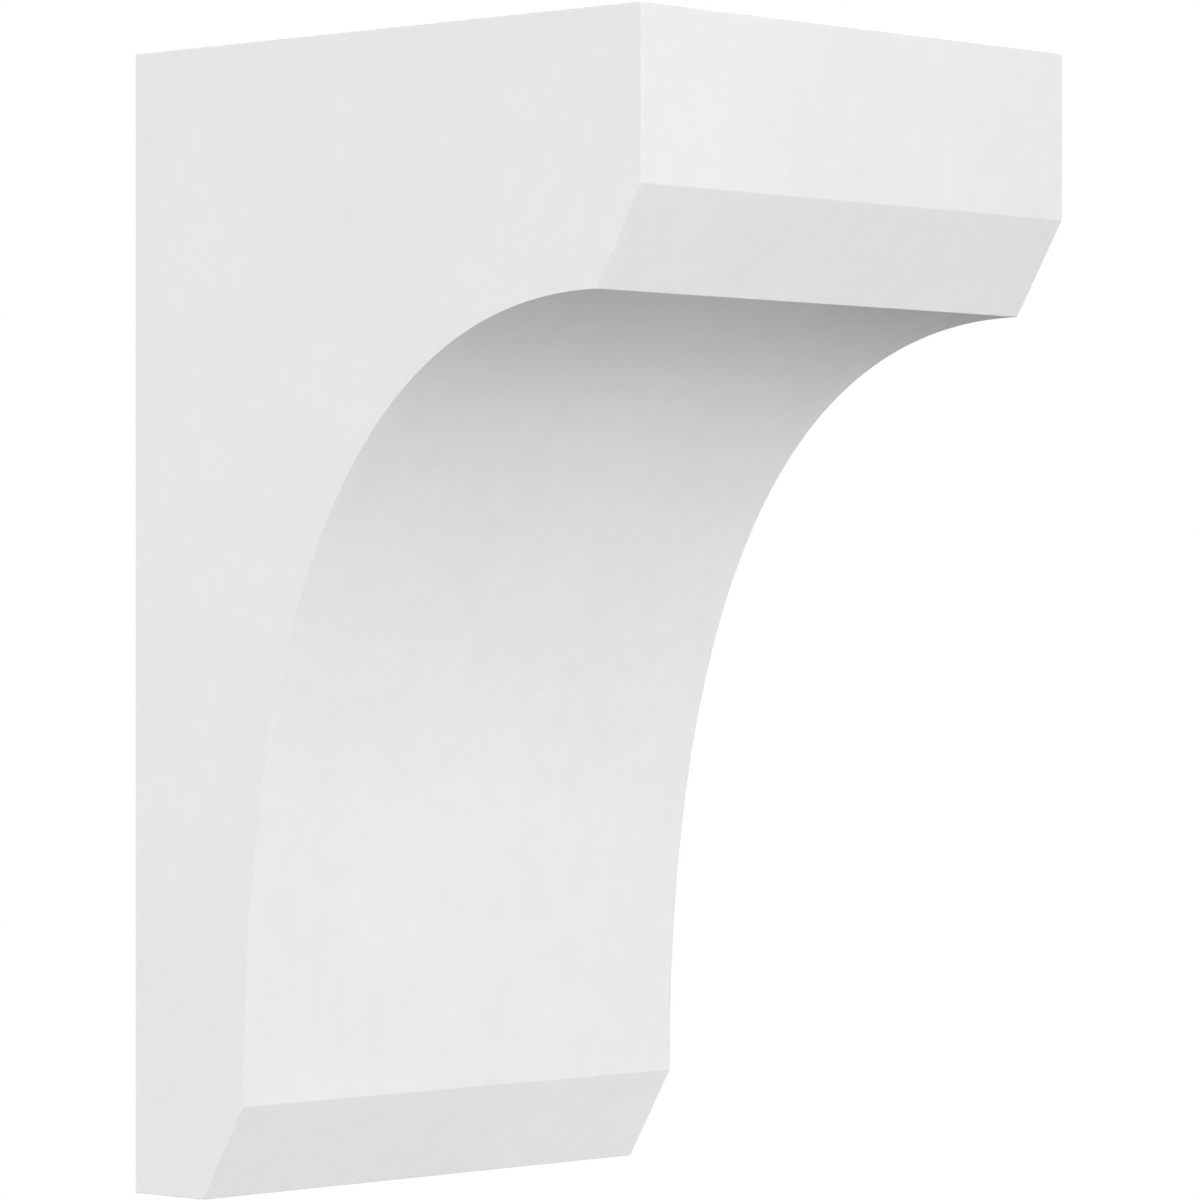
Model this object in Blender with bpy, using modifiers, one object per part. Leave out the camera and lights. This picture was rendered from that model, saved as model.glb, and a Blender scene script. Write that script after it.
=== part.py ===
"""A plain block corbel with one long cove down its front, cut from white cellular PVC board.

All sizes are in metres, and +Z is up. The wall face lies in the plane Y = 0 and looks along +Y, so
the corbel stands out along -Y. X runs across its width. The origin is the centre of the wall face.
"""

import math

import bpy
from mathutils import Vector

# Driving dimensions
INCH = 0.0254
WIDTH = 5.5 * INCH
PROJECTION = 6.0 * INCH
HEIGHT = 10.0 * INCH
EASED_ARRIS = 0.0002

# The profile is drawn on a square grid of this many steps, stretched to the projection and the height.
# It is the same both ways about the grid's diagonal, so the foot repeats the nose turned over.
GRID_STEPS = 12.0
LIP_STEPS = 1.75
SPLAY_STEPS = 1.0
COVE_HANDLE_SHARE = 0.647
COVE_SEGMENTS = 64

# The Weld closes the ends of the extruded outline, and the Bevel eases only edges sharper than this.
WELD_DISTANCE = 0.00001
SHARPER_THAN = math.radians(20)
ARRIS_SEGMENTS = 2

PVC_COLOUR = (0.84, 0.84, 0.84, 1.0)
PVC_ROUGHNESS = 0.6


def clear_scene():
    for old in list(bpy.data.objects):
        bpy.data.objects.remove(old, do_unlink=True)


def on_profile(depth, height):
    """A point of the side outline in metres, from its grid steps out from the wall and up from the foot."""
    return Vector((depth * PROJECTION / GRID_STEPS, height * HEIGHT / GRID_STEPS, 0.0))


def profile_corners():
    """The outline's corners in order, from the bottom of the wall face round the front to its top."""
    near_wall = LIP_STEPS + SPLAY_STEPS
    far_out = GRID_STEPS - SPLAY_STEPS
    return {
        "wall_foot": on_profile(0, 0),
        "underside_edge": on_profile(LIP_STEPS, 0),
        "cove_foot": on_profile(near_wall, SPLAY_STEPS),
        "cove_head": on_profile(far_out, GRID_STEPS - near_wall),
        "nose_edge": on_profile(GRID_STEPS, GRID_STEPS - LIP_STEPS),
        "top_edge": on_profile(GRID_STEPS, GRID_STEPS),
        "wall_head": on_profile(0, GRID_STEPS),
    }


def side_outline(name):
    """The filled side outline, as thick as the corbel is wide, half of it each side of the curve's plane.

    Every corner has straight sides but for the cove, which leaves its foot upright and meets its head
    level, each time with a handle of the same share of its height and depth.
    """
    corners = profile_corners()
    curve = bpy.data.curves.new(name, "CURVE")
    curve.dimensions = "2D"
    curve.fill_mode = "BOTH"
    curve.extrude = WIDTH / 2
    curve.resolution_u = COVE_SEGMENTS
    spline = curve.splines.new("BEZIER")
    spline.bezier_points.add(len(corners) - 1)
    spline.use_cyclic_u = True
    points = dict(zip(corners, spline.bezier_points))
    for corner, point in points.items():
        point.co = corners[corner]
        point.handle_left_type = "VECTOR"
        point.handle_right_type = "VECTOR"
    foot, head = points["cove_foot"], points["cove_head"]
    reach = (head.co - foot.co) * COVE_HANDLE_SHARE
    foot.handle_right_type = "FREE"
    foot.handle_right = foot.co + Vector((0.0, reach.y, 0.0))
    head.handle_left_type = "FREE"
    head.handle_left = head.co - Vector((reach.x, 0.0, 0.0))
    return curve


def white_pvc():
    material = bpy.data.materials.new("white_pvc")
    material.use_nodes = True
    shader = material.node_tree.nodes["Principled BSDF"]
    shader.inputs["Base Color"].default_value = PVC_COLOUR
    shader.inputs["Roughness"].default_value = PVC_ROUGHNESS
    shader.inputs["Metallic"].default_value = 0.0
    material.diffuse_color = PVC_COLOUR
    return material


def ease_arrises(obj):
    weld = obj.modifiers.new("close_ends", "WELD")
    weld.merge_threshold = WELD_DISTANCE
    bevel = obj.modifiers.new("eased_arrises", "BEVEL")
    bevel.width = EASED_ARRIS
    bevel.segments = ARRIS_SEGMENTS
    bevel.limit_method = "ANGLE"
    bevel.angle_limit = SHARPER_THAN
    bevel.use_clamp_overlap = False
    bevel.harden_normals = True


def make_corbel(collection):
    """The side outline stood up across the width: its depth runs along -Y and its height along +Z."""
    corbel = bpy.data.objects.new("corbel", side_outline("corbel"))
    corbel.rotation_euler = (math.radians(90), 0.0, math.radians(-90))
    corbel.location = (0.0, 0.0, -HEIGHT / 2)
    corbel.data.materials.append(white_pvc())
    collection.objects.link(corbel)
    ease_arrises(corbel)


clear_scene()
parts = bpy.data.collections.new("corbel")
bpy.context.scene.collection.children.link(parts)
make_corbel(parts)
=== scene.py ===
"""The looks of a plain white corbel: one long cove between a square nose and a splayed foot.

The corbel is one run of its side outline across the width, made smooth and dressed in a matte white
foam-PVC finish, and shown under soft studio light over a pale floor. Sizes come from the frame, in
metres. The wall face lies at Y = 0 and the corbel stands out along -Y.
"""

import math

import bmesh
import bpy
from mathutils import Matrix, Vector


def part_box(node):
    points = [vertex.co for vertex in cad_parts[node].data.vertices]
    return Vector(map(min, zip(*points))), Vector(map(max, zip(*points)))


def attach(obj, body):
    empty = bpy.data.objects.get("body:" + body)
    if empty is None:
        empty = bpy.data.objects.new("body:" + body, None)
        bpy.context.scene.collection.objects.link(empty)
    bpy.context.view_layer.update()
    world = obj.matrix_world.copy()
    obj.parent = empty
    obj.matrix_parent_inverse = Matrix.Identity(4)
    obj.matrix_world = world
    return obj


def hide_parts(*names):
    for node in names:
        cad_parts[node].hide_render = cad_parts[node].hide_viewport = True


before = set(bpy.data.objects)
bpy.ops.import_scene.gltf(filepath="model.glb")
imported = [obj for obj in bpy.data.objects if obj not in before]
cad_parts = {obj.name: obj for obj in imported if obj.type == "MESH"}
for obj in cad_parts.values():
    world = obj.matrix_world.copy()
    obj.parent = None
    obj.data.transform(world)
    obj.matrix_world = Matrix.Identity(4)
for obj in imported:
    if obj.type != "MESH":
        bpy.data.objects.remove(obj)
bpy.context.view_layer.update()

NODE = "corbel"
low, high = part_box(NODE)
SIZE = high - low
MIDDLE = (low + high) / 2

# The outline is drawn on a square grid of this many steps, stretched to its depth and its height.
# The cove's handles are a share of the cove's own depth and height.
GRID_STEPS = 12.0
LIP_SHARE = 1.75 / GRID_STEPS
SPLAY_SHARE = 1.0 / GRID_STEPS
COVE_HANDLE_SHARE = 0.647
COVE_SEGMENTS = 160

# The inputs of the node tree that runs the outline across the width
RUN_INPUTS = {
    "Width": "NodeSocketFloat",
    "Projection": "NodeSocketFloat",
    "Height": "NodeSocketFloat",
    "Lip": "NodeSocketFloat",
    "Splay": "NodeSocketFloat",
    "Cove Handle": "NodeSocketFloat",
    "Cove Segments": "NodeSocketInt",
    "Finish": "NodeSocketMaterial",
}

EASED_ARRIS = 0.0002
ARRIS_SEGMENTS = 3
SHARPER_THAN = math.radians(20)
WELD_DISTANCE = 0.00001

# The camera stands all but level with the corbel's middle, to the left of its front. Its lens and the
# horizon, which lies a little below the middle of the frame, are in pixels of the frame.
FRAME_PIXELS = 1200
SENSOR = 36.0
FOCAL_PIXELS = 5503.5
HORIZON_DOWN_PIXELS = 29.69
VIEW_YAW = math.radians(47.372)
CAMERA_DISTANCE = 1.2276
CAMERA_HEIGHT = -0.0014
CAMERA_ASIDE = 0.0003

# The finish: two sizes of faint clouds in the white, mixed by these shares, and a fine tooth over all
CLOUD_SCALE = 150.0
CLOUD_DETAIL = 3.0
CLOUD_RAGGEDNESS = 0.6
CLOUD_SHARE = 0.6
DRIFT_SCALE = 30.0
DRIFT_DETAIL = 1.0
DRIFT_SHARE = 0.4
DULLEST_WHITE = (0.792, 0.792, 0.792, 1.0)
CLEAREST_WHITE = (0.888, 0.888, 0.888, 1.0)
LEAST_ROUGHNESS = 0.52
ROUGHNESS_SPREAD = 0.12
SKIN_GLOSS = 0.3
TOOTH_SCALE = 1400.0
TOOTH_DETAIL = 3.0
TOOTH_STRENGTH = 0.2
TOOTH_DEPTH = 0.00002

# The floor is pale paint near the corbel and passes further out into a glowing white, painted light that
# matches the white of the backdrop
PURE_WHITE = (1.0, 1.0, 1.0, 1.0)
FLOOR_PAINT = (0.75, 0.75, 0.75, 1.0)
FLOOR_ROUGHNESS = 0.9
FLOOR_BELOW_MIDDLE = 0.35
FLOOR_SIDE = 400.0
FLOOR_PALE_WITHIN = 0.4
FLOOR_GLOWS_BEYOND = 1.6

# Sockets known by their place, because their names repeat: first the Mix node's sockets for colours,
# then those of Mix Shader
MIX_FACTOR, MIX_FIRST, MIX_SECOND = 0, 6, 7
MIX_RESULT = 2
BLEND_FACTOR, BLEND_FIRST, BLEND_SECOND = 0, 1, 2


class Wire:
    """A node's output. Arithmetic on it adds Math nodes to its own tree."""

    def __init__(self, tree, socket):
        self.tree = tree
        self.socket = socket

    def _maths(self, operation, first, second):
        return self.tree.node("ShaderNodeMath", {"operation": operation}, {0: first, 1: second})

    def __add__(self, other):
        return self._maths("ADD", self, other)

    def __radd__(self, other):
        return self._maths("ADD", other, self)

    def __sub__(self, other):
        return self._maths("SUBTRACT", self, other)

    def __rsub__(self, other):
        return self._maths("SUBTRACT", other, self)

    def __mul__(self, other):
        return self._maths("MULTIPLY", self, other)

    def __rmul__(self, other):
        return self._maths("MULTIPLY", other, self)


class Tree:
    """A node tree that grows one node at a time."""

    def __init__(self, tree):
        self.tree = tree

    def node(self, kind, settings=None, sockets=None, output=0):
        """Adds a node: its settings first, then the values or links of its sockets. Returns one output."""
        made = self.tree.nodes.new(kind)
        for name, value in (settings or {}).items():
            setattr(made, name, value)
        for key, given in (sockets or {}).items():
            for one in given if isinstance(given, list) else [given]:
                if isinstance(one, Wire):
                    self.tree.links.new(one.socket, made.inputs[key])
                else:
                    made.inputs[key].default_value = one
        return Wire(self, made.outputs[output]) if made.outputs else None


def bare_tree(owner):
    """The node tree of a new material or world, emptied of its default nodes."""
    owner.use_nodes = True
    owner.node_tree.nodes.clear()
    return Tree(owner.node_tree)


def placed(name, data):
    """A new object in the scene that holds this mesh, light or camera."""
    made = bpy.data.objects.new(name, data)
    bpy.context.scene.collection.objects.link(made)
    return made


def corbel_run():
    """The Geometry Nodes tree that draws the side outline and runs it across the width."""
    group = bpy.data.node_groups.new("corbel_run", "GeometryNodeTree")
    group.interface.new_socket("Geometry", in_out="OUTPUT", socket_type="NodeSocketGeometry")
    for name, kind in RUN_INPUTS.items():
        group.interface.new_socket(name, in_out="INPUT", socket_type=kind)
    tree = Tree(group)
    given = group.nodes.new("NodeGroupInput").outputs
    width, projection, height, lip, splay, handle, segments, finish = (
        Wire(tree, given[name]) for name in RUN_INPUTS
    )

    def at(depth, up):
        """A point of the outline from its shares of the projection and of the height."""
        return tree.node("ShaderNodeCombineXYZ", None, {"X": depth * projection, "Y": (up - 0.5) * height})

    near_wall = lip + splay
    far_out = 1 - splay
    reach = (far_out - near_wall) * handle
    cove_foot = at(near_wall, splay)
    cove_head = at(far_out, 1 - near_wall)
    cove = tree.node(
        "GeometryNodeCurvePrimitiveBezierSegment",
        {"mode": "POSITION"},
        {
            "Resolution": segments,
            "Start": cove_foot,
            "Start Handle": at(near_wall, splay + reach),
            "End Handle": at(far_out - reach, 1 - near_wall),
            "End": cove_head,
        },
    )
    corners = [cove_head, at(1, 1 - lip), at(1, 1), at(0, 1), at(0, 0), at(lip, 0), cove_foot]
    straights = [
        tree.node("GeometryNodeCurvePrimitiveLine", {"mode": "POINTS"}, {"Start": start, "End": end})
        for start, end in zip(corners, corners[1:])
    ]
    edges = tree.node("GeometryNodeJoinGeometry", None, {"Geometry": [cove, *straights]})
    edges = tree.node("GeometryNodeCurveToMesh", None, {"Curve": edges})
    edges = tree.node("GeometryNodeMergeByDistance", None, {"Geometry": edges, "Distance": WELD_DISTANCE})
    outline = tree.node("GeometryNodeMeshToCurve", None, {"Mesh": edges})

    # The rail runs towards -X with its normal out from the wall, so the outline's Y stands up
    rail = tree.node(
        "GeometryNodeCurvePrimitiveLine",
        {"mode": "POINTS"},
        {
            "Start": tree.node("ShaderNodeCombineXYZ", None, {"X": width * 0.5}),
            "End": tree.node("ShaderNodeCombineXYZ", None, {"X": width * -0.5}),
        },
    )
    rail = tree.node("GeometryNodeSetCurveNormal", {"mode": "FREE"}, {"Curve": rail, "Normal": (0, -1, 0)})
    sweep = {"Curve": rail, "Profile Curve": outline, "Fill Caps": True}
    block = tree.node("GeometryNodeCurveToMesh", None, sweep)
    block = tree.node("GeometryNodeRealizeInstances", None, {"Geometry": block})
    block = tree.node("GeometryNodeSetMaterial", None, {"Geometry": block, "Material": finish})
    group.links.new(block.socket, group.nodes.new("NodeGroupOutput").inputs["Geometry"])
    return group


def made_by(group, name, inputs):
    """A plain mesh object from a Geometry Nodes tree with these named inputs."""
    host = placed(name + "_host", bpy.data.meshes.new(name + "_host"))
    modifier = host.modifiers.new(group.name, "NODES")
    modifier.node_group = group
    for socket in group.interface.items_tree:
        if socket.item_type == "SOCKET" and socket.in_out == "INPUT":
            modifier[socket.identifier] = inputs[socket.name]
    bpy.context.view_layer.update()
    evaluated = host.evaluated_get(bpy.context.evaluated_depsgraph_get())
    mesh = bpy.data.meshes.new_from_object(evaluated)
    mesh.name = name
    bpy.data.objects.remove(host)
    return placed(name, mesh)


def corbel_block(finish):
    """The corbel itself: its outline run across the width, with every arris a little eased."""
    inputs = {
        "Width": SIZE.x,
        "Projection": SIZE.y,
        "Height": SIZE.z,
        "Lip": LIP_SHARE,
        "Splay": SPLAY_SHARE,
        "Cove Handle": COVE_HANDLE_SHARE,
        "Cove Segments": COVE_SEGMENTS,
        "Finish": finish,
    }
    block = made_by(corbel_run(), "corbel_block", inputs)
    shell = bmesh.new()
    shell.from_mesh(block.data)
    bmesh.ops.remove_doubles(shell, verts=shell.verts, dist=WELD_DISTANCE)
    bmesh.ops.recalc_face_normals(shell, faces=shell.faces)
    shell.to_mesh(block.data)
    shell.free()
    block.data.shade_smooth()
    block.data.set_sharp_from_angle(angle=SHARPER_THAN)
    arris = block.modifiers.new("eased_arrises", "BEVEL")
    arris.width = EASED_ARRIS
    arris.segments = ARRIS_SEGMENTS
    arris.limit_method = "ANGLE"
    arris.angle_limit = SHARPER_THAN
    arris.use_clamp_overlap = False
    arris.harden_normals = True
    return block


def foam_pvc_finish():
    """Matte white foam PVC: faint clouds in the skin over a fine tooth."""
    material = bpy.data.materials.new("foam_pvc_finish")
    tree = bare_tree(material)
    place = tree.node("ShaderNodeTexCoord", None, None, "Object")

    def noise(scale, detail, **more):
        sockets = {"Vector": place, "Scale": scale, "Detail": detail, **more}
        return tree.node("ShaderNodeTexNoise", None, sockets)

    clouds = noise(CLOUD_SCALE, CLOUD_DETAIL, Roughness=CLOUD_RAGGEDNESS)
    drift = noise(DRIFT_SCALE, DRIFT_DETAIL)
    tooth = noise(TOOTH_SCALE, TOOTH_DETAIL)
    tone = clouds * CLOUD_SHARE + drift * DRIFT_SHARE
    colour = tree.node(
        "ShaderNodeMix",
        {"data_type": "RGBA"},
        {MIX_FACTOR: tone, MIX_FIRST: DULLEST_WHITE, MIX_SECOND: CLEAREST_WHITE},
        MIX_RESULT,
    )
    bump = tree.node(
        "ShaderNodeBump",
        None,
        {"Strength": TOOTH_STRENGTH, "Distance": TOOTH_DEPTH, "Height": tooth},
    )
    shader = tree.node(
        "ShaderNodeBsdfPrincipled",
        None,
        {
            "Base Color": colour,
            "Roughness": LEAST_ROUGHNESS + tone * ROUGHNESS_SPREAD,
            "Specular IOR Level": SKIN_GLOSS,
            "Normal": bump,
        },
    )
    tree.node("ShaderNodeOutputMaterial", None, {"Surface": shader})
    return material


def floor_finish():
    """Pale matt paint that passes further out into a glowing white, painted light, and is clear from
    below.
    """
    material = bpy.data.materials.new("pale_floor_and_painted_glow")
    tree = bare_tree(material)
    place = tree.node("ShaderNodeTexCoord", None, None, "Object")
    away = tree.node("ShaderNodeVectorMath", {"operation": "LENGTH"}, {"Vector": place}, "Value")
    passing = tree.node(
        "ShaderNodeMapRange",
        {"interpolation_type": "SMOOTHSTEP"},
        {"Value": away, "From Min": FLOOR_PALE_WITHIN, "From Max": FLOOR_GLOWS_BEYOND},
    )
    paint = tree.node(
        "ShaderNodeBsdfPrincipled",
        None,
        {"Base Color": FLOOR_PAINT, "Roughness": FLOOR_ROUGHNESS, "Specular IOR Level": 0.0},
    )
    # Painted light: an emission that makes the floor glow plain white further out
    white = tree.node("ShaderNodeEmission", None, {"Color": PURE_WHITE, "Strength": 1.0})
    top = tree.node(
        "ShaderNodeMixShader",
        None,
        {BLEND_FACTOR: passing, BLEND_FIRST: paint, BLEND_SECOND: white},
    )
    underside = tree.node("ShaderNodeNewGeometry", None, None, "Backfacing")
    clear = tree.node("ShaderNodeBsdfTransparent")
    sheet = tree.node(
        "ShaderNodeMixShader",
        None,
        {BLEND_FACTOR: underside, BLEND_FIRST: top, BLEND_SECOND: clear},
    )
    tree.node("ShaderNodeOutputMaterial", None, {"Surface": sheet})
    return material


def studio_floor():
    """A wide pale floor well below the corbel, which neither lights it from below nor shades it."""
    mesh = bpy.data.meshes.new("floor")
    sheet = bmesh.new()
    bmesh.ops.create_grid(sheet, x_segments=1, y_segments=1, size=FLOOR_SIDE / 2)
    sheet.to_mesh(mesh)
    sheet.free()
    floor = placed("floor", mesh)
    floor.location = (MIDDLE.x, MIDDLE.y, MIDDLE.z - FLOOR_BELOW_MIDDLE)
    floor.data.materials.append(floor_finish())
    floor.visible_diffuse = False
    floor.visible_glossy = False
    floor.visible_shadow = False


def white_backdrop():
    """Plain white behind the corbel as the camera sees it, which gives no light of its own."""
    world = bpy.data.worlds.new("white_backdrop")
    tree = bare_tree(world)
    seen = tree.node("ShaderNodeLightPath", None, None, "Is Camera Ray")
    backdrop = tree.node("ShaderNodeBackground", None, {"Color": PURE_WHITE, "Strength": seen})
    tree.node("ShaderNodeOutputWorld", None, {"Surface": backdrop})
    bpy.context.scene.world = world


def softbox(name, bearing, elevation, distance, side, watts):
    """A square soft light, aimed at the corbel's middle from a bearing and an elevation in degrees.

    A bearing of 0 lights the front, and one of 90 the side towards +X.
    """
    lamp = bpy.data.lights.new(name, "AREA")
    lamp.shape = "SQUARE"
    lamp.size = side
    lamp.energy = watts
    turn = math.radians(bearing)
    rise = math.radians(elevation)
    out = Vector((math.sin(turn) * math.cos(rise), -math.cos(turn) * math.cos(rise), math.sin(rise)))
    box = placed(name, lamp)
    box.location = MIDDLE + out * distance
    box.rotation_euler = out.to_track_quat("Z", "Y").to_euler()
    box.visible_camera = False


def photo_camera():
    """A long lens, level and square to the ground, that frames the corbel as the photograph does."""
    lens = bpy.data.cameras.new("camera")
    lens.sensor_width = SENSOR
    lens.lens = FOCAL_PIXELS / FRAME_PIXELS * SENSOR
    lens.shift_y = HORIZON_DOWN_PIXELS / FRAME_PIXELS
    forward = Vector((math.sin(VIEW_YAW), math.cos(VIEW_YAW), 0.0))
    aside = Vector((math.cos(VIEW_YAW), -math.sin(VIEW_YAW), 0.0))
    camera = placed("camera", lens)
    camera.location = MIDDLE - forward * CAMERA_DISTANCE + aside * CAMERA_ASIDE
    camera.location.z = CAMERA_HEIGHT
    camera.rotation_euler = (math.radians(90), 0.0, -VIEW_YAW)
    bpy.context.scene.camera = camera


block = corbel_block(foam_pvc_finish())
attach(block, "root")
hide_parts(NODE)
photo_camera()
studio_floor()
white_backdrop()

# The low box stands under the floor, which casts no shadow
softbox("front_box", bearing=-20, elevation=0, distance=1.6, side=1.2, watts=18.7)
softbox("front_high_box", bearing=0, elevation=30, distance=3.0, side=2.0, watts=38)
softbox("left_box", bearing=-120, elevation=0, distance=3.0, side=2.0, watts=79)
softbox("right_box", bearing=110, elevation=20, distance=1.6, side=1.2, watts=17.7)
softbox("top_box", bearing=135, elevation=75, distance=3.0, side=1.2, watts=60)
softbox("low_box", bearing=60, elevation=-60, distance=0.7, side=0.5, watts=1.6)
bpy.context.scene.view_settings.view_transform = "Standard"
